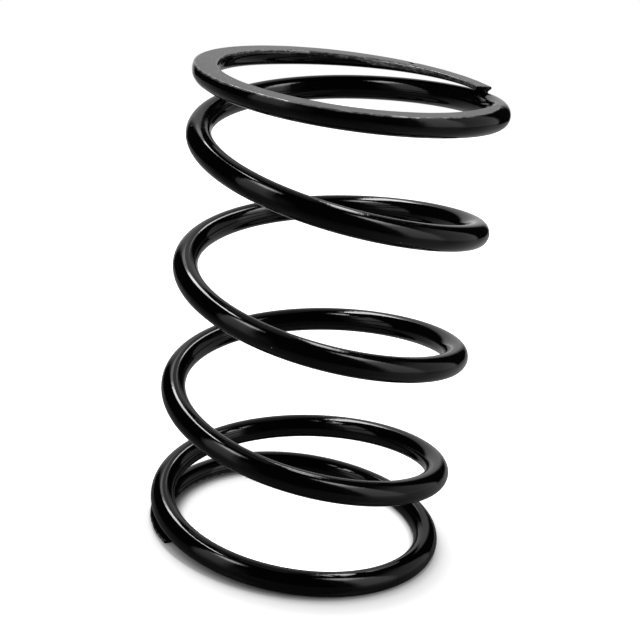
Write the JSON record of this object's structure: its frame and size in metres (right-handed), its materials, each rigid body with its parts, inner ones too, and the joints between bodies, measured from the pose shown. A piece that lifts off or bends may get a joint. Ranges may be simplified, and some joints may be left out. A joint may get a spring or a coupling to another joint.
{
  "type": "clutch spring",
  "caption": "Left-hand wound compression spring of round wire, with closed and ground flat ends and a gloss black coating.",
  "frame": {"origin": "on the coil axis, in the plane of the lower ground face", "axes": "+Z along the coil axis, from the lower ground face to the upper one; -Y towards the side the picture shows"},
  "size_m": [0.062, 0.062, 0.097],
  "materials": {
    "coating": "gloss"
  },
  "bodies": {
    "root": {"spring": "coating"}
  },
  "joints": []
}
